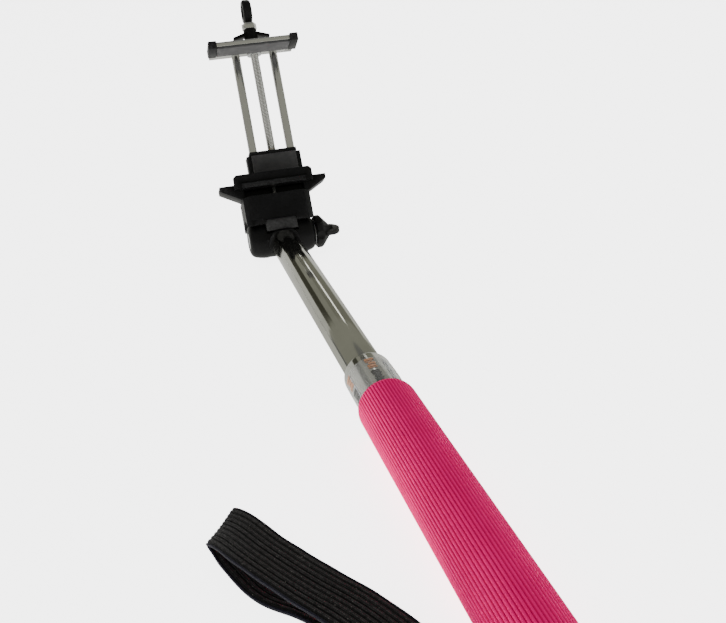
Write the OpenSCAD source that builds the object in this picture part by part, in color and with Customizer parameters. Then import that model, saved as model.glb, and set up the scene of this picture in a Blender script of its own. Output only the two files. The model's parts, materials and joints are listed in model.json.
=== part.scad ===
// Telescopic hand-held camera stick with a tilting screw clamp for a phone.
// It lies on a table: the grip touches the table and +Y runs to the head.

/* [Stick] */
// radius of the grip
grip_r = 9.75; // [8:0.05:12]
// distance from the hinge to the front of the grip
grip_s = 185; // [170:1:220]
// distance from the hinge to the end of the grip
end_s = 332; // [300:1:380]
// outside radius of the outermost tube
tube_r = 8.3; // [7:0.1:10]
// step in radius from one tube to the next
tube_step = 0.8; // [0.7:0.05:1]
// wall of every tube
tube_wall = 0.4; // [0.3:0.05:0.5]

/* [Head] */
// radius of the hinge drum
drum_r = 9; // [8.6:0.05:9.7]
// half width of the hinge drum
drum_w = 15.8; // [12:0.1:20]
// angle between the stick and the clamp at rest
tilt = 62; // [50:0.5:66]
// half width of the clamp block
block_w = 16; // [14:0.1:18]

/* [Clamp] */
// height of the lower seat above the hinge
seat_h = 27.4; // [24:0.1:32]
// opening of the clamp at rest
opening = 65.5; // [58:0.5:76]
// half distance between the guide rods
rod_x = 9.3; // [8:0.1:11]
// offset of the lead screw and its rods from the middle of the block
jaw_x = 4; // [0:0.1:4.2]

/* [Strap] */
// half width of the webbing
web_w = 7.5; // [6:0.1:10]
// half thickness of the webbing
web_t = 0.65; // [0.5:0.05:1]

/* [Hidden] */
// sides of a round
$fn = 64;
// where the hinge axis stands in the row frame
hinge_y = 138.736;
// height of the underside of the top plate's pad
top_h = seat_h + opening;
// depth of the rod plane behind the hinge plane
rod_y = 7.2;
// radius of a guide rod and of the lead screw
rod_r = 2;
// mouths of the tubes, measured from the hinge
outer_s = 161.5;
second_s = 160;
nest_s = 10.25;
// top of the tongue's neck
neck_h = 7.4;
// height of the nut above the top plate's pad, and its thickness
nut_h = 13.3;
nut_t = 3;
// offset of the top plate from the lead screw
plate_x = -1.4;
// radius of the paddle's disc and height of its centre above the nut
disc_r = 5.9;
disc_h = 6.3;
// radius of the paddle's stem in the end of the lead screw
stem_r = 1.2;
// slit left between pieces that slide on each other
slit = 0.1;
// rotations of the clamp about the hinge
lean = tilt - 90;

// route of the webbing: centre point, then heading of its width in plan and its roll
web_route = [
  [-20, -315.5, 4.1, 180, 0],
  [-20.5, -306, 5.2, 182, 0],
  [-23.5, -294, 6.9, 192, 0],
  [-28, -284, 7.8, 204, 0],
  [-33.5, -273, 8.0, 209, 0],
  [-41, -260, 7.8, 211, 0],
  [-49.5, -242.5, 6.6, 213, 0],
  [-54.8, -229, 5.2, 222, -4],
  [-57.6, -222.6, 3.1, 235, -4],
  [-54.9, -228, 0.9, 222, 0],
  [-50.5, -241.5, 0.8, 196, 0],
  [-46.6, -251, 0.9, 208, 3],
  [-39.5, -260.5, 1.5, 218, 8],
  [-31.5, -270.5, 1.3, 212, 5],
  [-26, -281, 0.8, 202, 0],
  [-22.5, -293, 0.8, 191, 0],
  [-20.5, -305, 0.8, 183, 0],
  [-20, -315.5, 1.0, 180, 0]
];
// route of the thin cord that ties the webbing to the end cap
tie_route = [
  [-22.5, -327, 2.6],
  [-22, -334, 2.2],
  [-16, -340.5, 3.4],
  [-7, -341.2, 8.2],
  [0, -340.5, 9.75],
  [5.2, -342.6, 10.2],
  [4.2, -347.2, 8.6],
  [-4, -347.4, 4.4],
  [-12, -342.5, 1.6],
  [-16.6, -334.5, 1.6],
  [-17.5, -327, 2.6]
];
tie_r = 0.9;

// point between p1 and p2 on a smooth curve through four points
function smooth(p0, p1, p2, p3, t) =
  p1 + t * (p2 - p0) / 2
  + t * t * (p0 - 2.5 * p1 + 2 * p2 - p3 / 2)
  + t * t * t * (1.5 * (p1 - p2) + (p3 - p0) / 2);
// entry k of a route, held at its ends
function held(r, k) = r[max(0, min(len(r) - 1, k))];
// the route cut into n steps per span
function rings(r, n) = [
  for (k = [0 : len(r) - 2], j = [0 : n - 1])
    smooth(held(r, k - 1), r[k], r[k + 1], held(r, k + 2), j / n),
  r[len(r) - 1]
];
// centre of a ring
function spot(q) = [q[0], q[1] + hinge_y, q[2]];
// direction of the route at ring k
function heading(r, k) =
  let (d = spot(held(r, k + 1)) - spot(held(r, k - 1)))
  d / norm(d);
// width direction of a webbing ring
function across(q) = [cos(q[3]) * cos(q[4]), sin(q[3]) * cos(q[4]), sin(q[4])];
// eight points of the webbing's flat section
flat_u = [1, 0.93, -0.93, -1, -1, -0.93, 0.93, 1];
flat_v = [0.45, 1, 1, 0.45, -0.45, -1, -1, -0.45];
function flat_ring(r, k) =
  let (t = heading(r, k))
  let (w0 = across(r[k]))
  let (w1 = w0 - (w0 * t) * t * 0.35)
  let (w = w1 / norm(w1))
  let (n0 = cross(t, w))
  let (n = n0 / norm(n0))
  [for (i = [0 : 7]) spot(r[k]) + w * (web_w * flat_u[i]) + n * (web_t * flat_v[i])];
// eight points of a round cord's section
function cord_ring(r, k) =
  let (t = heading(r, k))
  let (a0 = cross(t, [0.3, 0.4, 1]))
  let (a = a0 / norm(a0))
  let (b = cross(t, a))
  [for (i = [0 : 7]) spot(r[k]) + tie_r * (a * cos(i * 45) + b * sin(i * 45))];
// side faces between ring rows of eight points
function sides(n) = [
  for (k = [0 : n - 2], i = [0 : 7])
    [k * 8 + i, k * 8 + (i + 1) % 8, (k + 1) * 8 + (i + 1) % 8],
  for (k = [0 : n - 2], i = [0 : 7])
    [k * 8 + i, (k + 1) * 8 + (i + 1) % 8, (k + 1) * 8 + i]
];
function first_cap() = [[for (i = [7 : -1 : 0]) i]];
function last_cap(n) = [[for (i = [0 : 7]) (n - 1) * 8 + i]];

// turns a shape drawn along +Z so that it runs from the hinge to the grip end
module on_stick() {
  translate([0, hinge_y, grip_r])
    rotate([90, 0, 0])
      children();
}
// places a shape drawn in the stick's own frame
module at_hinge() {
  translate([0, hinge_y, grip_r])
    children();
}
// places a shape drawn upright in the clamp's own frame
module held_up() {
  translate([0, hinge_y, grip_r])
    rotate([lean, 0, 0])
      children();
}
// places a shape drawn about the lead screw, in the clamp's own frame
module about_screw() {
  held_up()
    translate([jaw_x, 0, 0])
      children();
}
// cylinder along +X from x0 to x1
module bar_x(x0, x1, r) {
  translate([x0, 0, 0])
    rotate([0, 90, 0])
      cylinder(h = x1 - x0, r = r);
}
// box from one corner to the other
module block(a, b) {
  translate(a)
    cube(b - a);
}
// outside radius of tube k, counted from the outermost
function tube_at(k) = tube_r - (k - 1) * tube_step;

// thin tube with a rolled mouth at s0 and an open foot at s1
module tube(k, s0, s1) {
  r = tube_at(k);
  ri = r - tube_wall;
  lip = tube_at(k + 1) + slit;
  on_stick()
    rotate_extrude($fn = 96)
      polygon([
        [ri, s1], [r, s1], [r, s0 + 0.8], [r - 0.12, s0 + 0.35], [r - 0.4, s0 + 0.05],
        [r - 0.55, s0], [lip, s0], [lip, s0 + 0.9], [ri, s0 + 1.3]
      ]);
}
// guide bush on the foot of tube k, running in tube k - 1
module bush(k, s1) {
  on_stick()
    translate([0, 0, s1 - 10])
      difference() {
        cylinder(h = 10, r = tube_at(k - 1) - tube_wall - 0.08, $fn = 96);
        translate([0, 0, -1])
          cylinder(h = 12, r = tube_at(k), $fn = 96);
      }
}

module grip_sleeve() {
  color([0.78, 0.09, 0.33])
    on_stick()
      rotate_extrude($fn = 96)
        polygon([
          [tube_r, grip_s], [grip_r - 1.2, grip_s], [grip_r - 0.45, grip_s + 0.35],
          [grip_r - 0.1, grip_s + 1.1], [grip_r, grip_s + 2.2], [grip_r, end_s - 0.6],
          [grip_r - 0.6, end_s], [tube_r, end_s]
        ]);
}
module outer_tube() {
  color([0.75, 0.75, 0.72])
    tube(1, outer_s, end_s);
}
module label_band() {
  color([0.9, 0.9, 0.9])
    on_stick()
      translate([0, 0, outer_s + 4.5])
        difference() {
          cylinder(h = 18.5, r = tube_r + 0.12, $fn = 96);
          translate([0, 0, -1])
            cylinder(h = 21, r = tube_r, $fn = 96);
        }
}
// dished cap with a plug in the tube and an eye for the tie
module end_cap() {
  color([0.05, 0.05, 0.05])
    difference() {
      union() {
        on_stick()
          rotate_extrude($fn = 96)
            polygon([
              [0, end_s - 3.5], [tube_r - tube_wall, end_s - 3.5], [tube_r - tube_wall, end_s],
              [grip_r, end_s], [grip_r, end_s + 1.6], [grip_r - 0.8, end_s + 2.8],
              [grip_r - 2.2, end_s + 3.4], [0, end_s + 3.6]
            ]);
        at_hinge()
          block([-1.8, -end_s - 8, -4], [1.8, -end_s - 2, 4]);
        at_hinge()
          translate([0, -end_s - 8, 0])
            bar_x(-1.8, 1.8, 4);
      }
      at_hinge()
        translate([0, -end_s - 8.5, 0])
          bar_x(-5, 5, 1.7);
      // seat of the screw that holds the cap
      on_stick()
        translate([5.2, 0, end_s - 2])
          cylinder(h = 10, r = 1.5);
    }
}
module cap_screw() {
  color([0.7, 0.7, 0.7])
    on_stick()
      translate([5.2, 0, end_s - 2])
        difference() {
          cylinder(h = 5.2, r = 1.5);
          translate([-0.3, -2, 4.6])
            cube([0.6, 4, 2]);
        }
}
module strap_keeper() {
  color([0.06, 0.06, 0.06])
    translate([0, hinge_y, 0])
      difference() {
        block([-28.4, -327.5, 0], [-12.4, -315.7, 5.4]);
        translate([-28.4, -328, 5.4])
          rotate([0, 45, 0])
            cube([1.2, 13, 1.2], center = false);
        block([-24, -329, 1.4], [-16, -325.6, 3.8]);
      }
}
module strap_tie() {
  color([0.04, 0.04, 0.04]) {
    r = rings(tie_route, 4);
    n = len(r);
    pts = [for (k = [0 : n - 1]) each cord_ring(r, k)];
    polyhedron(points = pts, faces = concat(first_cap(), sides(n), last_cap(n)));
  }
}
module wrist_strap() {
  color([0.08, 0.08, 0.09]) {
    r = rings(web_route, 4);
    n = len(r);
    pts = [for (k = [0 : n - 1]) each flat_ring(r, k)];
    polyhedron(points = pts, faces = concat(first_cap(), sides(n), last_cap(n)));
  }
}
module tube_2() {
  color([0.75, 0.75, 0.72])
    tube(2, second_s, end_s - 7.5);
}
module bush_2() {
  color([0.85, 0.85, 0.8])
    bush(2, end_s - 7.5);
}
module tube_3() {
  color([0.75, 0.75, 0.72])
    tube(3, nest_s, 178.3);
}
module bush_3() {
  color([0.85, 0.85, 0.8])
    bush(3, 178.3);
}
module tube_4() {
  color([0.75, 0.75, 0.72])
    tube(4, nest_s, 177);
}
module bush_4() {
  color([0.85, 0.85, 0.8])
    bush(4, 177);
}
module tube_5() {
  color([0.75, 0.75, 0.72])
    tube(5, nest_s, 176);
}
module bush_5() {
  color([0.85, 0.85, 0.8])
    bush(5, 176);
}
module tube_6() {
  color([0.75, 0.75, 0.72])
    tube(6, nest_s, 175);
}
module bush_6() {
  color([0.85, 0.85, 0.8])
    bush(6, 175);
}
// innermost tube, pressed on the fork's spigot
module tube_7() {
  color([0.75, 0.75, 0.72])
    on_stick()
      translate([0, 0, 9.95])
        difference() {
          cylinder(h = 164, r = tube_at(7), $fn = 96);
          translate([0, 0, -1])
            cylinder(h = 166, r = tube_at(7) - tube_wall, $fn = 96);
        }
}
module bush_7() {
  color([0.85, 0.85, 0.8])
    bush(7, 173.95);
}
// rounded drum about the hinge, split by a slot that stops at the web
module fork() {
  color([0.05, 0.05, 0.05])
    at_hinge()
      union() {
        difference() {
          union() {
            rotate([0, 90, 0])
              rotate_extrude($fn = 96)
                polygon([
                  [0, -drum_w], [drum_r - 3.6, -drum_w], [drum_r - 2.4, -drum_w + 0.4],
                  [drum_r - 1.5, -drum_w + 1.2], [drum_r - 0.9, -drum_w + 2.4],
                  [drum_r - 0.45, -drum_w + 4], [drum_r - 0.12, -drum_w + 6],
                  [drum_r, -drum_w + 7.8], [drum_r, drum_w - 7.8],
                  [drum_r - 0.12, drum_w - 6], [drum_r - 0.45, drum_w - 4],
                  [drum_r - 0.9, drum_w - 2.4], [drum_r - 1.5, drum_w - 1.2],
                  [drum_r - 2.4, drum_w - 0.4], [drum_r - 3.6, drum_w], [0, drum_w]
                ]);
            translate([0, -5, 0])
              rotate([90, 0, 0])
                cylinder(h = 4.95, r = 7.4);
          }
          difference() {
            block([-7.65, -12, -12], [7.65, 12, 12]);
            difference() {
              rotate([90, 0, 90])
                linear_extrude(height = 30, center = true)
                  polygon([[0, 0], [-30, 19.5], [-30, -30], [-17, -30]]);
              bar_x(-9, 9, 6.75);
            }
          }
          bar_x(-drum_w - 1, drum_w + 1, 2.5);
          translate([-drum_w - 1, 0, 0])
            rotate([0, 90, 0])
              cylinder(h = 4.6, r = 4.6, $fn = 6);
          translate([0, -6, 0])
            rotate([90, 0, 0])
              cylinder(h = 6, r = 1.5);
          translate([0, -6, 0])
            rotate([90, 0, 0])
              cylinder(h = 2.2, r1 = 3.3, r2 = 1.5);
        }
        translate([0, -9.9, 0])
          rotate([90, 0, 0])
            difference() {
              cylinder(h = 12, r = tube_at(7) - tube_wall);
              translate([0, 0, -1])
                cylinder(h = 14, r = 1.5);
            }
      }
}
module fork_screw() {
  color([0.7, 0.7, 0.7])
    at_hinge()
      translate([0, -6.8, 0])
        rotate([90, 0, 0])
          union() {
            cylinder(h = 1.4, r1 = 2.64, r2 = 1.5);
            cylinder(h = 12, r = 1.5);
          }
}
module hinge_bolt() {
  color([0.6, 0.6, 0.6])
    at_hinge()
      union() {
        bar_x(-drum_w + 1, 21, 2.5);
        translate([-drum_w + 0.2, 0, 0])
          rotate([0, 90, 0])
            cylinder(h = 3.4, r = 4.6, $fn = 6);
      }
}
module knob_washer() {
  color([0.7, 0.7, 0.7])
    at_hinge()
      difference() {
        bar_x(drum_w, drum_w + 0.4, 5.4);
        bar_x(drum_w - 1, drum_w + 2, 2.5);
      }
}
// hand knob: scalloped flange, cone and flat paddle
module side_knob() {
  color([0.05, 0.05, 0.05])
    at_hinge()
      difference() {
        union() {
          rotate([0, 90, 0])
            rotate_extrude($fn = 72)
              polygon([
                [0, 16.3], [7.2, 16.3], [7.85, 16.9], [7.85, 18.8], [7.3, 19.6],
                [2.9, 23.2], [2.4, 24.2], [2.2, 25], [0, 25]
              ]);
          intersection() {
            block([21, -6, -1.05], [28.4, 6, 1.05]);
            translate([21.4, 0, -2])
              cylinder(h = 4, r = 7);
          }
        }
        for (a = [0 : 5])
          rotate([a * 60 + 30, 0, 0])
            translate([0, 0, 10])
              bar_x(16, 20, 3);
        bar_x(16, 21.4, 3.6);
      }
}
module knob_insert() {
  color([0.75, 0.6, 0.25])
    at_hinge()
      difference() {
        bar_x(16.5, 21.4, 3.6);
        bar_x(16, 22, 2.55);
      }
}
module tilt_tongue() {
  color([0.12, 0.12, 0.12])
    held_up()
      difference() {
        union() {
          bar_x(-7.35, 7.35, 6.4);
          block([-7.35, -9.7, 1.9], [7.35, 9.7, neck_h]);
        }
        bar_x(-9, 9, 2.58);
        translate([0, 0, 3.6])
          cylinder(h = 30, r = 3.17);
        translate([0, 0, 3.6])
          cylinder(h = 2.4, r = 4.6);
      }
}
// quarter-inch stud moulded into the tongue
module tongue_stud() {
  color([0.7, 0.7, 0.7])
    held_up()
      union() {
        translate([0, 0, 3.6])
          cylinder(h = 2.4, r = 4.6);
        translate([0, 0, 5])
          cylinder(h = 13.2, r = 3.17);
      }
}
module clamp_block() {
  color([0.06, 0.06, 0.06])
    held_up()
      difference() {
        translate([0, 0, 5.5])
          linear_extrude(height = 13.8)
            polygon([
              [-block_w, -8], [-13.2, -10.6], [13.2, -10.6], [block_w, -8],
              [block_w, 8.4], [13.8, 10.6], [-13.8, 10.6], [-block_w, 8.4]
            ]);
        bar_x(-20, -7.4, drum_r + 0.4);
        bar_x(7.4, 20, drum_r + 0.4);
        block([-7.4, -12, 0], [7.4, 12, neck_h]);
        // step along the lower front edge
        block([-17, -11, 5], [-8.6, -10.1, 7.9]);
        cylinder(h = 30, r = 4.3);
        for (i = [-1, 1])
          translate([jaw_x + i * rod_x, rod_y, 12.9])
            cylinder(h = 10, r = rod_r + 0.08);
        translate([jaw_x, rod_y, 12.9])
          cylinder(h = 10, r = rod_r + 0.3);
      }
}
module block_insert() {
  color([0.75, 0.6, 0.25])
    held_up()
      difference() {
        translate([0, 0, neck_h])
          cylinder(h = 18.8 - neck_h, r = 4.3);
        cylinder(h = 30, r = 3.17);
      }
}
// lower jaw: wings, front lip and an open recess under the lip
module lower_jaw() {
  color([0.06, 0.06, 0.06])
    held_up()
      difference() {
        union() {
          translate([0, 4.2, 0])
            rotate([90, 0, 0])
              linear_extrude(height = 9.4)
                polygon([
                  [-25.6, 26.7], [-25.6, 24.6], [-16, 19.3], [16, 19.3], [25.6, 24.6], [25.6, 26.7],
                  [18.9, 26.7], [18.9, 25.9], [-18.9, 25.9], [-18.9, 26.7]
                ]);
          translate([0, -6.3, 0])
            rotate([90, 0, 0])
              linear_extrude(height = 2.5)
                polygon([
                  [-18.8, 24], [18.8, 24], [18.8, 29.3], [17.4, 30.5], [-17.4, 30.5], [-18.8, 29.3]
                ]);
          block([-18.8, -6.4, 24], [18.8, -5, 25.9]);
          block([-15.2, -9.5, 23.9], [15.2, -6.3, 26]);
        }
        block([-14.4, -6, 19], [14.4, -1, 23.7]);
        block([-16.4, -9, 26.6], [16.4, -8.4, 27]);
        translate([0, -3.4, 15])
          cylinder(h = 15, r = 1.3);
      }
}
module jaw_screw() {
  color([0.8, 0.8, 0.8])
    held_up()
      union() {
        translate([0, -3.4, 19.3])
          cylinder(h = 6.6, r = 1.3);
        translate([0, -3.4, 19.3])
          cylinder(h = 1.2, r = 2.3);
      }
}
module rod_collars() {
  color([0.06, 0.06, 0.06])
    held_up()
      for (i = [-1, 1])
        translate([i * 9.3, -3.6, 19.3])
          intersection() {
            block([-3.2, -1.7, 0], [3.2, 1.7, 1.5]);
            cylinder(h = 1.5, r = 3.1);
          }
}
module lower_pad() {
  color([0.1, 0.1, 0.1])
    held_up()
      block([-18.7, -6.2, 25.9], [18.7, 3.9, seat_h]);
}
// tower behind the phone that guides both rods and holds the nut
module guide_tower() {
  color([0.06, 0.06, 0.06])
    about_screw()
      difference() {
        union() {
          block([-13.2, 4.2, 19.3], [13.2, 10.4, 42]);
          block([-11.6, 4.2, 42], [11.6, 10.4, 44]);
        }
        for (i = [-1, 1])
          translate([i * rod_x, rod_y, 10])
            cylinder(h = 40, r = rod_r + 0.08);
        translate([0, rod_y, 10])
          cylinder(h = 40, r = rod_r + 0.3);
        translate([0, rod_y, 38])
          cylinder(h = 10, r = 2.95);
        for (z = [23, 32])
          translate([4.7, 12, z])
            rotate([90, 0, 0])
              cylinder(h = 9, r = 1.1);
      }
}
module tower_screws() {
  color([0.7, 0.7, 0.7])
    about_screw()
      for (z = [23, 32])
        translate([4.7, 0, z])
          union() {
            translate([0, 10.4, 0])
              rotate([90, 0, 0])
                cylinder(h = 5, r = 1.1);
            translate([0, 11.6, 0])
              rotate([90, 0, 0])
                cylinder(h = 1.2, r = 2);
          }
}
module back_pad() {
  color([0.1, 0.1, 0.1])
    about_screw()
      block([-11, 3, 30.2], [11, 4.2, 42]);
}
module lead_nut() {
  color([0.75, 0.6, 0.25])
    about_screw()
      translate([0, rod_y, 38])
        difference() {
          cylinder(h = 6, r = 2.95);
          translate([0, 0, -1])
            cylinder(h = 8, r = rod_r + 0.05);
        }
}
module top_plate() {
  color([0.8, 0.8, 0.8])
    about_screw()
      difference() {
        union() {
          block([plate_x - 20.7, -8, top_h + 1.5], [plate_x + 20.7, 10.8, top_h + 3]);
          block([plate_x - 20.7, -8, top_h + 0.9], [plate_x + 20.7, -7, top_h + 2]);
        }
        for (i = [-1, 1])
          translate([i * rod_x, rod_y, top_h])
            cylinder(h = 5, r = 1.2);
        translate([0, rod_y, top_h])
          cylinder(h = 5, r = rod_r + 0.1);
      }
}
module top_pad() {
  color([0.1, 0.1, 0.1])
    about_screw()
      block([plate_x - 17.7, -6.8, top_h], [plate_x + 17.7, 3.4, top_h + 1.5]);
}
module plate_ends() {
  color([0.06, 0.06, 0.06])
    about_screw()
      for (i = [-1, 1])
        translate([plate_x, 0, 0])
          scale([i, 1, 1])
            difference() {
              block([17.8, -8.7, top_h - 0.1], [21.8, 4, top_h + 3.7]);
              block([17, -8, top_h + 0.9], [20.7, 4.1, top_h + 3]);
            }
}
// saddle that carries the plate under the nut
module saddle() {
  color([0.06, 0.06, 0.06])
    about_screw()
      difference() {
        union() {
          translate([0, rod_y + 2.6, top_h + 3])
            rotate([90, 0, 0])
              linear_extrude(height = 5.2)
                polygon([
                  [-8.6, 0], [8.6, 0], [8.2, 2.2], [3, 4.6], [3, 7.1], [9, 5.4], [9, 6.5],
                  [3, 8.4], [-3, 8.4], [-9, 6.5], [-9, 5.4], [-3, 7.1], [-3, 4.6], [-8.2, 2.2]
                ]);
          translate([0, rod_y, top_h + 3])
            cylinder(h = 10.2, r = 3.25);
        }
        translate([0, rod_y, top_h])
          cylinder(h = 15, r = rod_r + 0.1);
      }
}
module guide_rods() {
  color([0.8, 0.8, 0.8])
    about_screw()
      for (i = [-1, 1])
        translate([i * rod_x, rod_y, 0])
          union() {
            translate([0, 0, seat_h])
              cylinder(h = opening + 1.5, r = rod_r);
            translate([0, 0, seat_h])
              cylinder(h = opening + 3, r = 1.2);
          }
}
module lead_screw() {
  color([0.8, 0.8, 0.8])
    about_screw()
      difference() {
        translate([0, rod_y, seat_h])
          cylinder(h = opening + nut_h + nut_t, r = rod_r);
        translate([0, rod_y, top_h + nut_h - 1])
          cylinder(h = 8, r = stem_r);
      }
}
module screw_clip() {
  color([0.7, 0.7, 0.7])
    about_screw()
      translate([0, rod_y, top_h + 0.3])
        difference() {
          cylinder(h = 0.9, r = 3.6);
          translate([0, 0, -1])
            cylinder(h = 3, r = rod_r);
        }
}
module hex_nut() {
  color([0.8, 0.8, 0.8])
    about_screw()
      translate([0, rod_y, top_h + nut_h])
        difference() {
          cylinder(h = nut_t, r = 3.7, $fn = 6);
          translate([0, 0, -1])
            cylinder(h = 6, r = rod_r);
        }
}
// thumb paddle: round disc on edge with a dimple on each side
module thumb_paddle() {
  color([0.05, 0.05, 0.05])
    about_screw()
      translate([0, rod_y, top_h + nut_h + nut_t + 0.1])
        union() {
          translate([0, 0, -4])
            cylinder(h = 5, r = stem_r);
          cylinder(h = 2.9, r = 1.6);
          translate([0, 0, disc_h])
            rotate([0, 90, 0])
              rotate_extrude($fn = 72)
                polygon([
                  [0, -1.3], [disc_r - 3.2, -1.3], [disc_r - 2.4, -2.1], [disc_r - 0.7, -2.1],
                  [disc_r, -1.4], [disc_r, 1.4], [disc_r - 0.7, 2.1], [disc_r - 2.4, 2.1],
                  [disc_r - 3.2, 1.3], [0, 1.3]
                ]);
        }
}

grip_sleeve();
outer_tube();
label_band();
end_cap();
cap_screw();
strap_keeper();
strap_tie();
wrist_strap();
tube_2();
bush_2();
tube_3();
bush_3();
tube_4();
bush_4();
tube_5();
bush_5();
tube_6();
bush_6();
tube_7();
bush_7();
fork();
fork_screw();
hinge_bolt();
knob_washer();
side_knob();
knob_insert();
tilt_tongue();
tongue_stud();
clamp_block();
block_insert();
lower_jaw();
jaw_screw();
rod_collars();
lower_pad();
guide_tower();
tower_screws();
back_pad();
lead_nut();
top_plate();
top_pad();
plate_ends();
saddle();
guide_rods();
lead_screw();
screw_clip();
hex_nut();
thumb_paddle();
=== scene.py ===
import json
import math

import bmesh
import bpy
import numpy as np
from mathutils import Matrix, Vector, noise

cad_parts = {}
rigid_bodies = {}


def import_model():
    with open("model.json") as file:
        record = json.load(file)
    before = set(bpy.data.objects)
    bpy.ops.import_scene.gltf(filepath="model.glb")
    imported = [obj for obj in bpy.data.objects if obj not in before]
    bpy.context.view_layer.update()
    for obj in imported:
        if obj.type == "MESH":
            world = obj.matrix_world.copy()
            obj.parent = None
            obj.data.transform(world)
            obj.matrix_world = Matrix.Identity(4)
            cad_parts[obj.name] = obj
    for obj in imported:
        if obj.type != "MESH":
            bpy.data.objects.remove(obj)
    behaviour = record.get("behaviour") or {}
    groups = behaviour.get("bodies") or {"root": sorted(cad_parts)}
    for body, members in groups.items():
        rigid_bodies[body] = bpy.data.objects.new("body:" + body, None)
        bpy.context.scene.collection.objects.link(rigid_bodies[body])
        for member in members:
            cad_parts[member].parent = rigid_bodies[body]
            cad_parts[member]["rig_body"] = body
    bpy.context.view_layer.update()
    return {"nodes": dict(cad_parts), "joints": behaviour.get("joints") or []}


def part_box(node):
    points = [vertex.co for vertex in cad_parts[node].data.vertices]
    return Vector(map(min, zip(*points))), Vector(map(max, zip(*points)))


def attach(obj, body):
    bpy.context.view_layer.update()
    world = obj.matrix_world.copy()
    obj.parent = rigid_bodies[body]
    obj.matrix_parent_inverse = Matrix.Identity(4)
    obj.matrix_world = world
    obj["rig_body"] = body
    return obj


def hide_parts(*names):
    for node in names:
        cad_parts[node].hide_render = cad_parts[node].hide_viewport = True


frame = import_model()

# ---------------------------------------------------------------- frames and sizes
MM = 0.001
JOINTS = {j["name"]: j for j in frame["joints"]}
HINGE = Vector(JOINTS["head_tilt"]["pos_m"])
CLAMP_UP = Vector(JOINTS["jaw_slide"]["axis"]).normalized()
LEAN = -math.atan2(CLAMP_UP.y, CLAMP_UP.z)
# local Z of STICK runs from the hinge to the grip's end; local Z of CLAMP runs up the clamp
AT_HINGE = Matrix.Translation(HINGE)
STICK = AT_HINGE @ Matrix.Rotation(math.pi / 2, 4, "X")
CLAMP = AT_HINGE @ Matrix.Rotation(LEAN, 4, "X")


def stick_span(node):
    """Where a node starts and ends along the stick, in mm from the hinge."""
    low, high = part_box(node)
    return (HINGE.y - high.y) / MM, (HINGE.y - low.y) / MM


def radius_of(node):
    """Outside radius of a node that is round about the stick, in mm."""
    low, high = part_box(node)
    return (high.x - low.x) / 2 / MM


def clamp_span(node):
    """Lowest and highest level of a node in the clamp's frame, and its middle, in mm."""
    mesh = frame["nodes"][node].data
    back = Matrix.Scale(1 / MM, 4) @ CLAMP.inverted()
    points = [back @ v.co for v in mesh.vertices]
    low = Vector([min(p[i] for p in points) for i in range(3)])
    high = Vector([max(p[i] for p in points) for i in range(3)])
    return low.z, high.z, (low + high) / 2


# ---------------------------------------------------------------- camera
def make_camera():
    data = bpy.data.cameras.new("camera")
    data.lens = 49.587
    data.sensor_width = 36
    data.clip_start = 0.01
    data.clip_end = 50
    camera = bpy.data.objects.new("camera", data)
    bpy.context.scene.collection.objects.link(camera)
    right = Vector((0.96477414, -0.25188407, -0.07592937))
    down = Vector((-0.16442466, -0.35202128, -0.92143668))
    ahead = Vector((0.20536647, 0.90146294, -0.38103698))
    turn = Matrix((right, -down, -ahead)).transposed().to_4x4()
    stand = HINGE + Vector((-0.06661, -0.45434, 0.14657))
    camera.matrix_world = Matrix.Translation(stand) @ turn
    bpy.context.scene.camera = camera


make_camera()


# ---------------------------------------------------------------- mesh helpers
def piece(name, bm, place, material, body, replaces=(), sharp=32):
    """Makes a piece from a mesh in mm, puts it in place and lets it ride on a body."""
    mesh = bpy.data.meshes.new(name)
    bmesh.ops.remove_doubles(bm, verts=bm.verts, dist=1e-5)
    bmesh.ops.recalc_face_normals(bm, faces=bm.faces)
    bm.to_mesh(mesh)
    bm.free()
    mesh.transform(place @ Matrix.Scale(MM, 4))
    return finished(name, mesh, material, body, replaces, sharp)


def finished(name, mesh, material, body, replaces, sharp):
    """Shades a mesh, gives it its material, lets it ride on a body and hides the parts it replaces."""
    mesh.shade_smooth()
    mesh.set_sharp_from_angle(angle=math.radians(sharp))
    mesh.materials.clear()
    mesh.materials.append(material)
    obj = bpy.data.objects.new(name, mesh)
    bpy.context.scene.collection.objects.link(obj)
    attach(obj, body)
    if replaces:
        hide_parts(*replaces)
    return obj


def mesh_from(verts, faces):
    """A bmesh from points and from faces that count those points."""
    bm = bmesh.new()
    made = [bm.verts.new(v) for v in verts]
    for face in faces:
        bm.faces.new([made[i] for i in face])
    return bm


def joined(parts):
    """One bmesh that holds several."""
    whole = bmesh.new()
    for part in parts:
        mesh = bpy.data.meshes.new("part")
        part.to_mesh(mesh)
        part.free()
        whole.from_mesh(mesh)
        bpy.data.meshes.remove(mesh)
    return whole


def lathe(outline, sides):
    """A closed outline of (radius, height) points turned round Z."""
    n = len(outline)
    verts = []
    for k in range(sides):
        a = 2 * math.pi * k / sides
        verts += [(r * math.cos(a), r * math.sin(a), z) for r, z in outline]
    faces = []
    for k in range(sides):
        for i in range(n):
            j = (i + 1) % n
            if outline[i][0] < 1e-6 and outline[j][0] < 1e-6:
                continue
            a, b = k * n, (k + 1) % sides * n
            faces.append((a + i, b + i, b + j, a + j))
    bm = mesh_from(verts, faces)
    bmesh.ops.remove_doubles(bm, verts=bm.verts, dist=1e-5)
    bmesh.ops.dissolve_degenerate(bm, edges=bm.edges, dist=1e-6)
    return bm


def loft(rings):
    """A closed skin over rings that have the same number of points."""
    n = len(rings[0])
    verts = [p for ring in rings for p in ring]
    faces = []
    for k in range(len(rings) - 1):
        for i in range(n):
            j = (i + 1) % n
            faces.append((k * n + i, k * n + j, (k + 1) * n + j, (k + 1) * n + i))
    faces.append(tuple(range(n))[::-1])
    faces.append(tuple((len(rings) - 1) * n + i for i in range(n)))
    return mesh_from(verts, faces)


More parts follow.
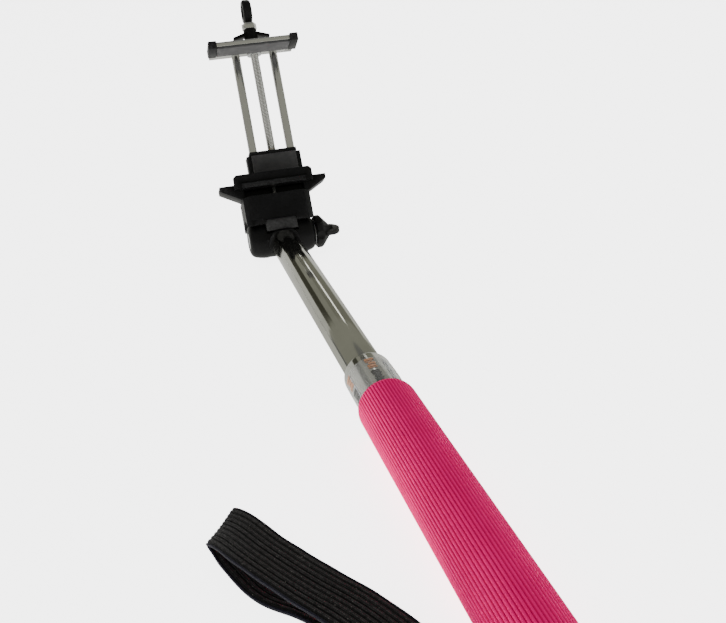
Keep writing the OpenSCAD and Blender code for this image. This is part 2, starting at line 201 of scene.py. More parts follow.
# an edge of a CAD part that turns by more than this is rounded, and one that turns
# by more than the second stays sharp in the shading, both in degrees
ROUNDED_ANGLE = 35
SHARP_ANGLE = 40
ROUNDING_STEPS = 2


def bevelled(bm, width):
    """Rounds the hard edges of a bmesh."""
    limit = math.radians(ROUNDED_ANGLE)
    hard = [e for e in bm.edges if len(e.link_faces) == 2 and e.calc_face_angle(0) > limit]
    bmesh.ops.bevel(
        bm, geom=hard, offset=width, offset_type="OFFSET", segments=ROUNDING_STEPS,
        profile=0.5, affect="EDGES", clamp_overlap=True, loop_slide=True
    )
    return bm


def refined(name, node, width, material):
    """A copy of a CAD node with flat faces made whole and hard edges rounded."""
    source = frame["nodes"][node]
    bm = bmesh.new()
    bm.from_mesh(source.data)
    bm.transform(Matrix.Scale(1 / MM, 4))
    bmesh.ops.remove_doubles(bm, verts=bm.verts, dist=1e-3)
    bmesh.ops.dissolve_limit(
        bm, angle_limit=math.radians(0.6), verts=bm.verts, edges=bm.edges
    )
    bevelled(bm, width)
    return piece(
        name, bm, Matrix(), material, source["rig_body"], [node], SHARP_ANGLE
    )


# ---------------------------------------------------------------- material helpers
class Paint:
    """A small helper that builds one procedural material."""

    def __init__(self, name, color, roughness, metallic=0.0, **sockets):
        self.material = bpy.data.materials.new(name)
        self.material.use_nodes = True
        self.tree = self.material.node_tree
        self.shader = self.tree.nodes["Principled BSDF"]
        self.shader.inputs["Base Color"].default_value = (*color, 1)
        self.shader.inputs["Roughness"].default_value = roughness
        self.shader.inputs["Metallic"].default_value = metallic
        for socket, value in sockets.items():
            self.shader.inputs[socket.replace("_", " ")].default_value = value
        self.place = self.node("ShaderNodeTexCoord").outputs["Object"]
        self.height = None

    def node(self, kind, **values):
        made = self.tree.nodes.new(kind)
        for key, value in values.items():
            setattr(made, key, value)
        return made

    def link(self, a, b):
        self.tree.links.new(a, b)

    def stretched(self, scale, place=None):
        made = self.node("ShaderNodeMapping")
        made.inputs["Scale"].default_value = scale
        self.link(place or self.place, made.inputs["Vector"])
        return made.outputs["Vector"]

    def attribute(self, name):
        return self.node("ShaderNodeAttribute", attribute_name=name)

    def noise(self, scale, detail=3.0, place=None):
        made = self.node("ShaderNodeTexNoise")
        made.inputs["Scale"].default_value = scale
        made.inputs["Detail"].default_value = detail
        self.link(place or self.place, made.inputs["Vector"])
        return made.outputs["Fac"]

    def mapped(self, value, low, high, from_low=0.3, from_high=0.7):
        made = self.node("ShaderNodeMapRange")
        made.inputs["From Min"].default_value = from_low
        made.inputs["From Max"].default_value = from_high
        made.inputs["To Min"].default_value = low
        made.inputs["To Max"].default_value = high
        self.link(value, made.inputs["Value"])
        return made.outputs["Result"]

    def math(self, operation, a, b):
        made = self.node("ShaderNodeMath", operation=operation)
        for socket, value in zip(made.inputs, (a, b)):
            if isinstance(value, (int, float)):
                socket.default_value = value
            else:
                self.link(value, socket)
        return made.outputs[0]

    def mixed(self, share, a, b):
        made = self.node("ShaderNodeMix", data_type="RGBA")
        self.link(share, made.inputs["Factor"])
        for socket, value in ((made.inputs[6], a), (made.inputs[7], b)):
            if isinstance(value, tuple):
                socket.default_value = (*value, 1)
            else:
                self.link(value, socket)
        return made.outputs[2]

    def color(self, value):
        self.link(value, self.shader.inputs["Base Color"])

    def roughness(self, value):
        self.link(value, self.shader.inputs["Roughness"])

    def bump(self, value, depth, strength=1.0):
        """Adds a bump of that depth in mm on top of any bump before it."""
        made = self.node("ShaderNodeBump")
        made.inputs["Strength"].default_value = strength
        made.inputs["Distance"].default_value = depth * MM
        self.link(value, made.inputs["Height"])
        if self.height:
            self.link(self.height, made.inputs["Normal"])
        self.height = made.outputs["Normal"]
        self.link(self.height, self.shader.inputs["Normal"])

    def painted_edge_highlight(self, base, wear_and_highlight):
        """Mixes a lighter colour in, in patches, where edges stick out: a painted edge highlight."""
        point = self.node("ShaderNodeNewGeometry").outputs["Pointiness"]
        patchy = self.mapped(self.noise(900, 4), 0.2, 1.0)
        edge = self.math("MULTIPLY", self.mapped(point, 0, 1, 0.52, 0.62), patchy)
        return self.mixed(edge, base, wear_and_highlight)


def foam():
    p = Paint("grip_foam", (0.9, 0.002, 0.17), 0.7)
    p.shader.inputs["Specular IOR Level"].default_value = 0.08
    cells = p.noise(2600, 4)
    streaks = p.noise(1.0, 4, p.stretched((1800, 90, 1800)))
    patches = p.noise(60, 3)
    crest = p.mixed(p.mapped(patches, 0, 1), (0.95, 0.002, 0.19), (0.84, 0.001, 0.155))
    crest = p.mixed(p.mapped(streaks, 0, 0.45), crest, (0.98, 0.012, 0.24))
    crest = p.mixed(p.mapped(cells, 0, 0.35), crest, (0.72, 0.001, 0.12))
    # painted shade: the grooves between the ribs are darkened towards a deep crimson
    painted_groove_shade = p.mapped(p.attribute("painted_groove_shade").outputs["Fac"], 0, 0.75, 0, 1)
    p.color(p.mixed(painted_groove_shade, crest, (0.42, 0.0, 0.07)))
    p.roughness(p.mapped(cells, 0.75, 0.9))
    p.bump(p.noise(5200, 3), 0.03, 0.4)
    p.bump(streaks, 0.03, 0.4)
    return p.material


def chrome(name, tint, rough):
    p = Paint(name, tint, rough, 1.0)
    lines = p.noise(1.0, 3, p.stretched((5200, 35, 5200)))
    smudge = p.noise(85, 5)
    p.color(p.mixed(p.mapped(smudge, 0, 1), tint, tuple(c * 0.9 for c in tint)))
    haze = p.math("MULTIPLY", p.mapped(lines, 0.75, 1.25), p.mapped(smudge, rough * 0.7, rough * 1.8))
    p.roughness(haze)
    p.bump(lines, 0.0012, 0.5)
    return p.material


def black_plastic(name, color, rough, grain=0.012):
    p = Paint(name, color, rough)
    p.shader.inputs["Specular IOR Level"].default_value = 0.1
    fine = p.noise(5600, 2)
    clouds = p.noise(140, 4)
    base = p.mixed(p.mapped(clouds, 0, 1), color, tuple(c * 1.5 + 0.0005 for c in color))
    # painted highlight: a lighter colour along the edges that stick out
    p.color(p.painted_edge_highlight(base, tuple(c * 3.0 + 0.01 for c in color)))
    patchy = p.mapped(clouds, -0.05, 0.07)
    grainy = p.mapped(fine, rough - 0.03, rough + 0.05)
    p.roughness(p.math("ADD", patchy, grainy))
    p.bump(fine, grain, 0.6)
    return p.material


def zinc():
    p = Paint("screw_steel", (0.5, 0.5, 0.5), 0.3, 1.0)
    turned = p.noise(1.0, 3, p.stretched((900, 900, 9000)))
    spots = p.noise(700, 5)
    p.color(p.mixed(p.mapped(spots, 0, 1), (0.56, 0.56, 0.55), (0.4, 0.41, 0.43)))
    p.roughness(p.mapped(spots, 0.22, 0.4))
    p.bump(turned, 0.006, 0.5)
    return p.material


def brass():
    p = Paint("brass", (0.62, 0.42, 0.15), 0.3, 1.0)
    spots = p.noise(600, 5)
    p.color(p.mixed(p.mapped(spots, 0, 1), (0.66, 0.46, 0.18), (0.42, 0.27, 0.09)))
    p.roughness(p.mapped(spots, 0.2, 0.42))
    p.bump(p.noise(4000, 3), 0.01, 0.5)
    return p.material


def rubber():
    p = Paint("pad_rubber", (0.018, 0.018, 0.019), 0.75)
    dust = p.noise(420, 5)
    p.color(p.mixed(p.mapped(dust, 0, 1), (0.016, 0.016, 0.017), (0.034, 0.033, 0.032)))
    p.roughness(p.mapped(dust, 0.68, 0.85))
    p.bump(p.noise(6000, 4), 0.03, 0.6)
    return p.material


def bush_plastic():
    p = Paint("bush_plastic", (0.6, 0.6, 0.55), 0.45)
    clouds = p.noise(300, 4)
    p.color(p.mixed(p.mapped(clouds, 0, 1), (0.64, 0.63, 0.58), (0.5, 0.49, 0.43)))
    p.roughness(p.mapped(clouds, 0.38, 0.55))
    p.bump(p.noise(1.0, 3, p.stretched((4000, 300, 4000))), 0.01, 0.5)
    return p.material


def film():
    p = Paint("label_film", (0.7, 0.7, 0.68), 0.12, Alpha=0.14)
    p.shader.inputs["Specular IOR Level"].default_value = 0.4
    haze = p.noise(260, 4)
    p.color(p.mixed(p.mapped(haze, 0, 1), (0.74, 0.74, 0.71), (0.6, 0.6, 0.57)))
    p.roughness(p.mapped(haze, 0.1, 0.2))
    p.bump(p.noise(500, 2), 0.008, 0.4)
    return p.material


def ink(name, color):
    p = Paint(name, color, 0.4)
    wear_and_highlight = p.noise(1800, 4)
    p.color(p.mixed(p.mapped(wear_and_highlight, 0, 0.25), color, tuple(0.5 * c + 0.25 for c in color)))
    p.roughness(p.mapped(wear_and_highlight, 0.3, 0.5))
    p.bump(p.noise(3000, 2), 0.004, 0.4)
    return p.material


def webbing():
    """Ribbed tape: the ribs are in the mesh; the stitches, the fibres, painted shade between the ribs and
    painted glints are here.
    """
    p = Paint("webbing", (0.008, 0.008, 0.009), 0.7, Sheen_Weight=0.06, Sheen_Roughness=0.35)
    p.shader.inputs["Sheen Tint"].default_value = (0.55, 0.55, 0.62, 1)
    p.shader.inputs["Specular IOR Level"].default_value = 0.15
    lay = p.attribute("lay").outputs["Vector"]
    brick = p.node("ShaderNodeTexBrick", offset=0.5, offset_frequency=2, squash=1.0)
    p.link(lay, brick.inputs["Vector"])
    brick.inputs["Scale"].default_value = 1.0
    brick.inputs["Brick Width"].default_value = 0.62
    brick.inputs["Row Height"].default_value = 0.46
    brick.inputs["Mortar Size"].default_value = 0.09
    brick.inputs["Mortar Smooth"].default_value = 0.8
    brick.inputs["Bias"].default_value = 0.0
    brick.inputs["Color1"].default_value = (0.012, 0.0115, 0.012, 1)
    brick.inputs["Color2"].default_value = (0.05, 0.047, 0.046, 1)
    brick.inputs["Mortar"].default_value = (0.001, 0.001, 0.0012, 1)
    # painted glints: rare pale flecks mixed into the cloth's colour
    glint = p.node("ShaderNodeTexVoronoi", feature="F1")
    p.link(lay, glint.inputs["Vector"])
    glint.inputs["Scale"].default_value = 1.7
    chosen = p.node("ShaderNodeSeparateColor")
    p.link(glint.outputs["Color"], chosen.inputs["Color"])
    rare = p.mapped(chosen.outputs["Red"], 0, 1, 0.9, 0.95)
    near = p.mapped(glint.outputs["Distance"], 1, 0, 0.08, 0.22)
    painted_glint = p.math("MULTIPLY", rare, near)
    # painted shade: the cloth goes near black between the ribs, where the crest layer is low
    shaded_weave = p.mixed(p.attribute("crest").outputs["Fac"], (0.0012, 0.0012, 0.0014), brick.outputs["Color"])
    cloth = p.mixed(painted_glint, shaded_weave, (0.3, 0.28, 0.25))
    edge = p.attribute("selvage").outputs["Fac"]
    p.color(p.mixed(p.mapped(edge, 0, 1, 0.2, 0.9), cloth, (0.005, 0.0045, 0.012)))
    p.roughness(p.mapped(brick.outputs["Fac"], 0.5, 0.8, 0, 1))
    p.bump(p.math("SUBTRACT", 1.0, brick.outputs["Fac"]), 0.14, 0.8)
    p.bump(p.noise(5, 3, lay), 0.06, 0.6)
    return p.material


def tie_cord():
    p = Paint("tie_cord", (0.012, 0.012, 0.013), 0.6, Sheen_Weight=0.25)
    p.shader.inputs["Specular IOR Level"].default_value = 0.3
    fibres = p.noise(9000, 3)
    strand_shade = p.attribute("strand_shade").outputs["Fac"]
    # painted shade: darker between the braided strands, lighter on their tops
    p.color(p.mixed(strand_shade, (0.004, 0.004, 0.005), (0.028, 0.028, 0.03)))
    p.roughness(p.mapped(fibres, 0.5, 0.75))
    p.bump(fibres, 0.03, 0.7)
    return p.material


MATS = {
    "grip_foam": foam(),
    "tube_steel": chrome("tube_steel", (0.4, 0.4, 0.355), 0.09),
    "clamp_chrome": chrome("clamp_chrome", (0.55, 0.55, 0.53), 0.14),
    "label_film": film(),
    "cap_black": black_plastic("cap_black", (0.004, 0.004, 0.0045), 0.42),
    "keeper_black": black_plastic("keeper_black", (0.004, 0.004, 0.004), 0.45),
    "head_black": black_plastic("head_black", (0.0025, 0.0025, 0.0025), 0.36),
    "clamp_black": black_plastic("clamp_black", (0.0015, 0.0015, 0.0016), 0.38),
    "paddle_black": black_plastic("paddle_black", (0.003, 0.003, 0.003), 0.34),
    "tongue_grey": black_plastic("tongue_grey", (0.009, 0.009, 0.0088), 0.55, 0.012),
    "screw_steel": zinc(),
    "brass_insert": brass(),
    "pad_rubber": rubber(),
    "bush_plastic": bush_plastic(),
    "webbing": webbing(),
    "tie_cord": tie_cord(),
}
INKS = {
    "tan": ink("ink_tan", (0.42, 0.17, 0.06)),
    "dark": ink("ink_dark", (0.008, 0.007, 0.006)),
    "grey": ink("ink_grey", (0.3, 0.31, 0.33)),
}


# ---------------------------------------------------------------- strap and its tie
# centre point in mm, the same as in the CAD, then heading of the width and its roll
WEB_ROUTE = [
    (-20, -315.5, 4.1, 180, 0), (-20.5, -306, 5.2, 182, 0), (-23.5, -294, 6.9, 192, 0),
    (-28, -284, 7.8, 204, 0), (-33.5, -273, 8.0, 209, 0), (-41, -260, 7.8, 211, 0),
    (-49.5, -242.5, 6.6, 213, 0), (-54.8, -229, 5.2, 222, -4), (-57.6, -222.6, 3.1, 235, -4),
    (-54.9, -228, 0.9, 222, 0), (-50.5, -241.5, 0.8, 196, 0), (-46.6, -251, 0.9, 208, 3),
    (-39.5, -260.5, 1.5, 218, 8), (-31.5, -270.5, 1.3, 212, 5), (-26, -281, 0.8, 202, 0),
    (-22.5, -293, 0.8, 191, 0), (-20.5, -305, 0.8, 183, 0), (-20, -315.5, 1.0, 180, 0),
]
TIE_ROUTE = [
    (-22.5, -327, 2.6), (-22, -334, 2.2), (-16, -340.5, 3.4), (-7, -341.2, 8.2),
    (0, -340.5, 9.75), (5.2, -342.6, 10.2), (4.2, -347.2, 8.6), (-4, -347.4, 4.4),
    (-12, -342.5, 1.6), (-16.6, -334.5, 1.6), (-17.5, -327, 2.6),
]
WEB_HALF_WIDTH = 7.5
WEB_HALF_THICK = 0.65
TIE_RADIUS = 0.9
ON_TABLE = Matrix.Translation((0, HINGE.y, 0))


def smooth_route(route, steps):
    """Rows on a smooth curve through the route's rows."""
    rows = [np.array(r, float) for r in route]
    last = len(rows) - 1
    out = []
    for k in range(last):
        p0, p1, p2, p3 = rows[max(0, k - 1)], rows[k], rows[k + 1], rows[min(last, k + 2)]
        for j in range(steps):
            t = j / steps
            out.append(
                p1 + t * (p2 - p0) / 2
                + t * t * (p0 - 2.5 * p1 + 2 * p2 - p3 / 2)
                + t ** 3 * (1.5 * (p1 - p2) + (p3 - p0) / 2)
            )
    return out + [rows[last]]


def unit(v):
    """The same direction with length one."""
    return v / np.linalg.norm(v)


def tangents(points):
    """Direction of a line at each of its points."""
    points = np.array(points)
    ahead = np.vstack([points[1:], points[-1:]])
    behind = np.vstack([points[:1], points[:-1]])
    return [unit(d) for d in ahead - behind]


def web_section():
    """Half of the tape's section: shares of width and thickness, selvage, rib's crest."""
    ribs, per_rib = 9, 7
    border = 0.9
    turns = [math.pi / 2 * k / 5 for k in range(1, 6)]
    row = [(1 - 0.03 * (1 - math.cos(a)), 0.8 * math.sin(a), 1.0, 0.5) for a in turns]
    count = ribs * per_rib
    for k in range(count + 1):
        u = border * (1 - 2 * k / count)
        swell = abs(math.sin(math.pi * ribs * (u + border) / (2 * border)))
        row.append((u, 0.42 + 0.6 * swell ** 0.55, 0.0, swell))
    row += [(-u, v, e, c) for u, v, e, c in row[4::-1]]
    return row


def make_strap():
    upper = web_section()
    section = upper + [(-u, -v, e, c) for u, v, e, c in upper]
    rows = smooth_route(WEB_ROUTE, 24)
    centres = [row[:3] for row in rows]
    rings, lays, edges, crests = [], [], [], []
    along = 0.0
    for k, (row, ahead) in enumerate(zip(rows, tangents(centres))):
        if k:
            along += np.linalg.norm(centres[k] - centres[k - 1])
        heading, roll = math.radians(row[3]), math.radians(row[4])
        flat = np.array((
            math.cos(heading) * math.cos(roll), math.sin(heading) * math.cos(roll), math.sin(roll)
        ))
        across = unit(flat - flat.dot(ahead) * ahead * 0.35)
        up = unit(np.cross(ahead, across))
        crown = 0.12 * math.sin(along / 17) + 0.08 * math.sin(along / 6.3 + 1)
        ring = []
        for u, v, edge, crest in section:
            sag = crown * (1 - u * u)
            wobble = 0.05 * math.sin(along / 2.1 + 5 * u) * edge
            at = row[:3] + across * (WEB_HALF_WIDTH * u + wobble)
            at = at + up * (WEB_HALF_THICK * v + sag)
            ring.append(tuple(at))
            lays.append((along, WEB_HALF_WIDTH * u + (0 if v > 0 else 40), 0))
            edges.append(edge)
            crests.append(crest)
        rings.append(ring)
    bm = loft(rings)
    coat = bm.verts.layers.float_vector.new("lay")
    seam = bm.verts.layers.float.new("selvage")
    # crest: 1 on a rib's top and 0 between ribs; the webbing material paints shade between the ribs with
    # it
    rib = bm.verts.layers.float.new("crest")
    for vert, lay, edge, crest in zip(bm.verts, lays, edges, crests):
        vert[coat] = lay
        vert[seam] = edge
        vert[rib] = crest
    strap = piece(
        "strap_webbing", bm, ON_TABLE, MATS["webbing"], "handle", ["wrist_strap"], 60
    )


def make_tie():
    """Round braided cord: its strands run both ways round it."""
    centres = smooth_route(TIE_ROUTE, 40)
    sides = 28
    rings, shades = [], []
    along = 0.0
    normal = np.array((0.3, 0.4, 1.0))
    for k, (at, ahead) in enumerate(zip(centres, tangents(centres))):
        if k:
            along += np.linalg.norm(centres[k] - centres[k - 1])
        normal = unit(normal - normal.dot(ahead) * ahead)
        side = np.cross(ahead, normal)
        ring = []
        for i in range(sides):
            a = 2 * math.pi * i / sides
            left = math.sin(4 * a + along * 2.4)
            right = math.sin(4 * a - along * 2.4)
            swell = max(left, right)
            shades.append(min(1.0, max(0.0, 0.5 + 0.5 * swell)))
            r = TIE_RADIUS * (0.93 + 0.08 * swell)
            ring.append(tuple(at + r * (normal * math.cos(a) + side * math.sin(a))))
        rings.append(ring)
    bm = loft(rings)
    # this layer is high on the strands' tops and low between them; tie_cord paints shade with it
    coat = bm.verts.layers.float.new("strand_shade")
    for vert, shade in zip(bm.verts, shades):
        vert[coat] = shade
    tie = piece("strap_tie_cord", bm, ON_TABLE, MATS["tie_cord"], "handle", ["strap_tie"], 60)


make_strap()
make_tie()


# ---------------------------------------------------------------- stick
TUBE_WALL = 0.4
TUBE_SIDES = 160


def make_tube(node, number, mouth_inner):
    """Thin drawn tube with a rolled mouth."""
    start, end = stick_span(node)
    r = radius_of(node)
    wall = TUBE_WALL
    roll = [
        (r, start + 0.9), (r - 0.06, start + 0.5), (r - 0.2, start + 0.2), (r - 0.42, start + 0.04),
        (r - 0.62, start), (mouth_inner + 0.06, start + 0.02), (mouth_inner, start + 0.12),
        (mouth_inner, start + 0.9), (r - wall, start + 1.3), (r - wall, end - 0.05),
        (r - wall + 0.05, end), (r - 0.05, end), (r, end - 0.05),
    ]
    body = frame["nodes"][node]["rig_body"]
    piece(f"drawn_tube_{number}", lathe(roll, TUBE_SIDES), STICK, MATS["tube_steel"], body,
          [node], 50)


TUBES = ["outer_tube", "tube_2", "tube_3", "tube_4", "tube_5", "tube_6"]
for number, node in enumerate(TUBES, 1):
    following = radius_of(f"tube_{number + 1}")
    make_tube(node, number, following + 0.1)


def make_grip():
    """Foam sleeve with fine ribs along its length and a rounded front edge."""
    start, end = stick_span("grip_sleeve")
    crest = radius_of("grip_sleeve")
    bore = radius_of("outer_tube")
    ribs, per_rib, depth = 60, 8, 0.3
    sides = ribs * per_rib
    profile = [
        (bore, 0.1, 0.0), (bore + 0.25, 0.0, 0.0), (crest - 0.75, 0.05, 0.15),
        (crest - 0.4, 0.25, 0.4),
        (crest - 0.18, 0.6, 0.7), (crest - 0.06, 1.1, 0.9), (crest - 0.01, 1.7, 1.0),
    ]
    length = end - start
    profile += [(crest, 2.5 + (length - 5) * k / 30, 1.0) for k in range(31)]
    profile += [
        (crest - 0.1, length - 0.5, 1.0), (crest - 0.5, length - 0.06, 0.4), (bore, length, 0.0)
    ]
    verts, valleys = [], []
    for r, s, ribbed in profile:
        for k in range(sides):
            a = 2 * math.pi * k / sides
            phase = (k % per_rib) / per_rib
            groove = math.exp(-((phase - 0.5) / 0.17) ** 2)
            soft = noise.noise(Vector((math.cos(a) * 1.6, math.sin(a) * 1.6, s * 0.06)))
            here = r - ribbed * (depth * groove + 0.05 * max(0.0, soft))
            verts.append((here * math.cos(a), here * math.sin(a), start + s))
            valleys.append(groove * ribbed)
    faces = []
    count = len(profile)
    for j in range(count):
        for k in range(sides):
            a, b = j * sides, (j + 1) % count * sides
            n = (k + 1) % sides
            faces.append((a + k, a + n, b + n, b + k))
    bm = mesh_from(verts, faces)
    # groove depth per point; grip_foam paints shade into the grooves with it
    coat = bm.verts.layers.float.new("painted_groove_shade")
    for vert, value in zip(bm.verts, valleys):
        vert[coat] = value
    piece("ribbed_grip", bm, STICK, MATS["grip_foam"], "handle", ["grip_sleeve"], 60)


make_grip()


def curved_patch(r, thick, s0, s1, a0, a1):
    """A thin patch that lies on a round tube, between two angles and two stations."""
    steps = max(2, int(abs(a1 - a0) / 4))
    rings = []
    for k in range(steps + 1):
        a = math.radians(a0 + (a1 - a0) * k / steps)
        c, s = math.cos(a), math.sin(a)
        rings.append([
            (r * c, r * s, s0), (r * c, r * s, s1),
            ((r + thick) * c, (r + thick) * s, s1), ((r + thick) * c, (r + thick) * s, s0),
        ])
    return loft(rings)


def make_label():
    """Clear printed film round the tube, with plain bars in rows."""
    start, end = stick_span("label_band")
    outer = radius_of("label_band")
    inner = radius_of("outer_tube")
    skin = [
        (inner + 0.01, start), (outer - 0.04, start), (outer, start + 0.05), (outer, end - 0.05),
        (outer - 0.04, end), (inner + 0.01, end),
    ]
    piece("label_film_band", lathe(skin, TUBE_SIDES), STICK, MATS["label_film"], "handle",
          ["label_band"], 40)
    # each mark: start along the row, length along the row, lower and upper share of the row
    tan_marks = [
        (0.6, 1.5, 0, 1), (2.6, 0.5, 0.2, 1), (3.6, 1.3, 0, 0.8), (5.4, 1.4, 0.1, 1), (7.2, 0.6, 0, 1)
    ]
    dark_marks = [
        (9.6, 1.7, 0.1, 1), (11.8, 0.6, 0, 1), (12.9, 1.6, 0.15, 0.9), (15, 0.8, 0, 1),
        (16.3, 1.2, 0.2, 1)
    ]
    rows = [165 - 70 * k for k in range(5)]
    half = 10.5
    for ink_name, marks in (("tan", tan_marks), ("dark", dark_marks)):
        parts = []
        for middle in rows:
            low = middle - half
            for at, long, a, b in marks:
                parts.append(curved_patch(
                    outer, 0.015, start + at, start + at + long,
                    low + 2 * half * a, low + 2 * half * b
                ))
        piece(f"label_marks_{ink_name}", joined(parts), STICK, INKS[ink_name], "handle")
    parts = []
    for column, middle in ((0, 64), (1, 57), (2, -205)):
        for k in range(9):
            long = 0.7 + 0.5 * ((k * 5 + column * 3) % 3)
            at = 1.2 + k * 1.8
            parts.append(curved_patch(
                outer, 0.012, start + at, start + at + long, middle - 1.6, middle + 1.6
            ))
    piece("label_marks_grey", joined(parts), STICK, INKS["grey"], "handle")


make_label()

# ------------------------------------------ parts that keep their CAD shape, with rounded edges
REFINED = [
    # name, CAD node, rounding in mm and material
    ("cap_shell", "end_cap", 0.35, "cap_black"),
    ("cap_fastener", "cap_screw", 0.12, "screw_steel"),
    ("keeper_clip", "strap_keeper", 0.45, "keeper_black"),
    ("hinge_fork", "fork", 0.3, "head_black"),
    ("fork_fastener", "fork_screw", 0.1, "screw_steel"),
    ("hinge_pin", "hinge_bolt", 0.2, "screw_steel"),
    ("washer", "knob_washer", 0.12, "screw_steel"),
    ("knob", "side_knob", 0.25, "head_black"),
    ("knob_core", "knob_insert", 0.1, "brass_insert"),
    ("tongue", "tilt_tongue", 0.4, "tongue_grey"),
    ("stud", "tongue_stud", 0.15, "screw_steel"),
    ("block_shell", "clamp_block", 0.4, "clamp_black"),
    ("block_core", "block_insert", 0.1, "brass_insert"),
    ("jaw_shell", "lower_jaw", 0.3, "clamp_black"),
    ("jaw_fastener", "jaw_screw", 0.15, "clamp_chrome"),
    ("collars", "rod_collars", 0.2, "clamp_black"),
    ("tower_shell", "guide_tower", 0.35, "clamp_black"),
    ("tower_fasteners", "tower_screws", 0.15, "screw_steel"),
    ("tower_pad", "back_pad", 0.3, "pad_rubber"),
    ("nut_core", "lead_nut", 0.1, "brass_insert"),
    ("jaw_plate", "top_plate", 0.2, "clamp_chrome"),
    ("plate_caps", "plate_ends", 0.35, "clamp_black"),
    ("plate_saddle", "saddle", 0.35, "clamp_black"),
    ("rods", "guide_rods", 0.2, "clamp_chrome"),
    ("retaining_clip", "screw_clip", 0.1, "screw_steel"),
    ("lock_nut", "hex_nut", 0.25, "clamp_chrome"),
    ("thumb_disc", "thumb_paddle", 0.35, "paddle_black"),
]
for name, node, width, slot in REFINED:
    refined(name, node, width, MATS[slot])

for number in range(2, 8):
    refined(f"foot_bush_{number}", f"bush_{number}", 0.12, MATS["bush_plastic"])
refined("drawn_tube_7", "tube_7", 0.05, MATS["tube_steel"])
refined("seat_pad", "lower_pad", 0.3, MATS["pad_rubber"])
refined("plate_pad", "top_pad", 0.3, MATS["pad_rubber"])


def make_thread():
    """Lead screw with a real helical thread below the nut and a bore for the paddle's stem."""
    bottom, top, middle = clamp_span("lead_screw")
    crest, depth, pitch = 2.0, 0.22, 0.7
    sides, per_turn = 40, 6
    rows = int((top - bottom) / pitch * per_turn)
    rings = []
    for k in range(rows + 1):
        z = bottom + (top - bottom) * k / rows
        ring = []
        for i in range(sides):
            a = 2 * math.pi * i / sides
            turn = (z / pitch - i / sides) % 1
            r = crest - depth * abs(2 * turn - 1)
            ring.append((middle.x + r * math.cos(a), middle.y + r * math.sin(a), z))
        rings.append(ring)
    bore, deep = 1.2, 4.0
    for z in (top, top - deep):
        rings.append([
            (middle.x + bore * math.cos(2 * math.pi * i / sides),
             middle.y + bore * math.sin(2 * math.pi * i / sides), z) for i in range(sides)
        ])
    piece("threaded_rod", loft(rings), CLAMP, MATS["clamp_chrome"], "screw",
          ["lead_screw"], 50)


make_thread()


# ---------------------------------------------------------------- studio
def level_square(half, drop):
    """Corners in metres of a level square that lies a little below the table's top."""
    return [(x * half, y * half, -drop) for x, y in ((-1, -1), (1, -1), (1, 1), (-1, 1))]


def make_floor():
    """Plain pale floor that glows a little, so that it stays close to white."""
    p = Paint("floor", (0.9, 0.9, 0.9), 0.6)
    grain = p.noise(300, 3)
    p.color(p.mixed(p.mapped(grain, 0, 1), (0.9, 0.9, 0.9), (0.88, 0.88, 0.88)))
    p.shader.inputs["Emission Color"].default_value = (1, 1, 1, 1)
    p.shader.inputs["Emission Strength"].default_value = 4.2
    bm = mesh_from(level_square(12.0, 0.3 * MM), [(0, 1, 2, 3)])
    mesh = bpy.data.meshes.new("floor")
    bm.to_mesh(mesh)
    bm.free()
    mesh.materials.append(p.material)
    floor = bpy.data.objects.new("floor", mesh)
    bpy.context.scene.collection.objects.link(floor)


def glow(name, color, strength):
    """A material that only shines."""
    p = Paint(name, (0, 0, 0), 1.0)
    p.shader.inputs["Emission Color"].default_value = (*color, 1)
    p.shader.inputs["Emission Strength"].default_value = strength
    return p.material


def hidden_card(name, verts, faces, material):
    """A card that is seen only in reflections."""
    bm = mesh_from(verts, faces)
    mesh = bpy.data.meshes.new(name)
    bm.to_mesh(mesh)
    bm.free()
    mesh.materials.append(material)
    card = bpy.data.objects.new(name, mesh)
    bpy.context.scene.collection.objects.link(card)
    card.visible_camera = False
    card.visible_diffuse = False
    card.visible_shadow = False


def ring_card(name, material, low, high, distance):
    """A round wall of cards between two elevations in degrees."""
    steps = 60
    verts, faces = [], []
    for k in range(steps):
        a = 2 * math.pi * k / steps
        for e in (low, high):
            rise = distance * math.tan(math.radians(e))
            verts.append((distance * math.sin(a), distance * math.cos(a), rise))
        n = (k + 1) % steps
        faces.append((2 * k, 2 * n, 2 * n + 1, 2 * k + 1))
    hidden_card(name, verts, faces, material)


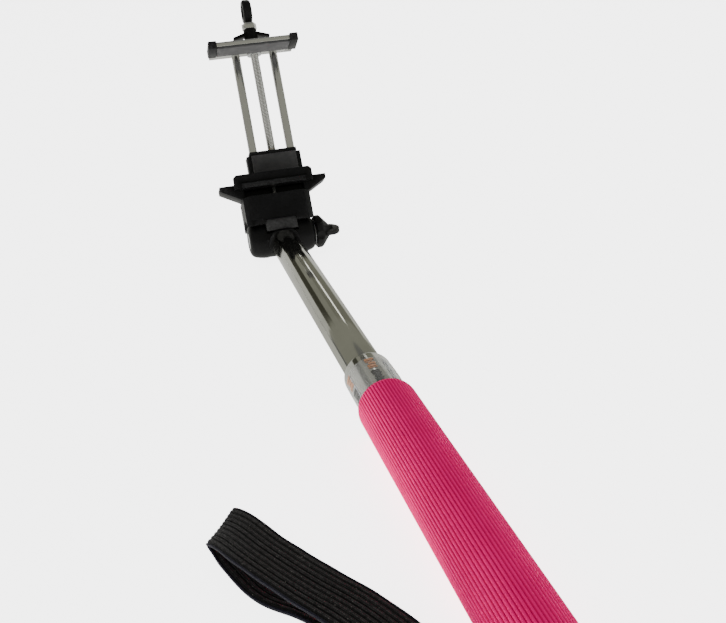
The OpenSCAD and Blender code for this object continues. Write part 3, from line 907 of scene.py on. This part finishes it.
def fan_card(name, material, start, end, distance=2.4):
    """A wedge about the stick's line, between two angles from +X, beyond the head."""
    near, far = 0.12, 3.2
    corners = []
    for a, reach in ((start, near), (end, near), (end, far), (start, far)):
        c, s = math.cos(math.radians(a)), math.sin(math.radians(a))
        corners.append((reach * c, distance, reach * s))
    hidden_card(name, corners, [(0, 1, 2, 3)], material)


def area_light(name, place, target, size, power):
    """A softbox that lights the part but is not seen or reflected itself."""
    data = bpy.data.lights.new(name, "AREA")
    data.shape = "RECTANGLE"
    data.size, data.size_y = size
    data.energy = power
    light = bpy.data.objects.new(name, data)
    bpy.context.scene.collection.objects.link(light)
    light.location = place
    light.rotation_euler = (Vector(target) - Vector(place)).to_track_quat("-Z", "Y").to_euler()
    light.visible_camera = False
    light.visible_glossy = False


def make_studio():
    """Soft light, and cards that give the polished parts something to reflect."""
    world = bpy.data.worlds.new("studio")
    bpy.context.scene.world = world
    world.use_nodes = True
    back = world.node_tree.nodes["Background"]
    back.inputs["Color"].default_value = (0.9, 0.91, 0.9, 1)
    back.inputs["Strength"].default_value = 0.3
    make_floor()
    light = glow("card_light", (1.0, 1.0, 0.95), 1.0)
    grey = glow("card_grey", (1.0, 1.0, 0.86), 0.42)
    olive = glow("card_olive", (1.0, 1.0, 0.82), 0.3)
    dark = glow("card_dark", (1.0, 1.0, 0.7), 0.08)
    bright = glow("card_bright", (1, 1, 0.97), 4.5)
    ring_card("card_ring", grey, 8, 62, 6.0)
    fan_card("fan_left", light, 150, 178)
    fan_card("fan_dark", dark, 122, 150)
    fan_card("fan_middle", grey, 96, 122)
    fan_card("fan_olive", olive, 75, 96)
    fan_card("fan_streak", bright, 70, 75)
    fan_card("fan_low", olive, 30, 70)
    fan_card("fan_right", light, 3, 30)
    hidden_card("card_floor", level_square(6.0, 0.25 * MM), [(0, 1, 2, 3)], light)
    area_light("key_softbox", (-1.0, -0.9, 1.6), (0, 0, 0.03), (1.2, 1.2), 16)
    area_light("fill_softbox", (1.4, -0.2, 1.3), (0, 0, 0.03), (1.2, 1.2), 6)
    area_light("back_softbox", (0.2, 1.6, 1.5), (0, 0, 0.03), (1.6, 0.8), 6)


make_studio()
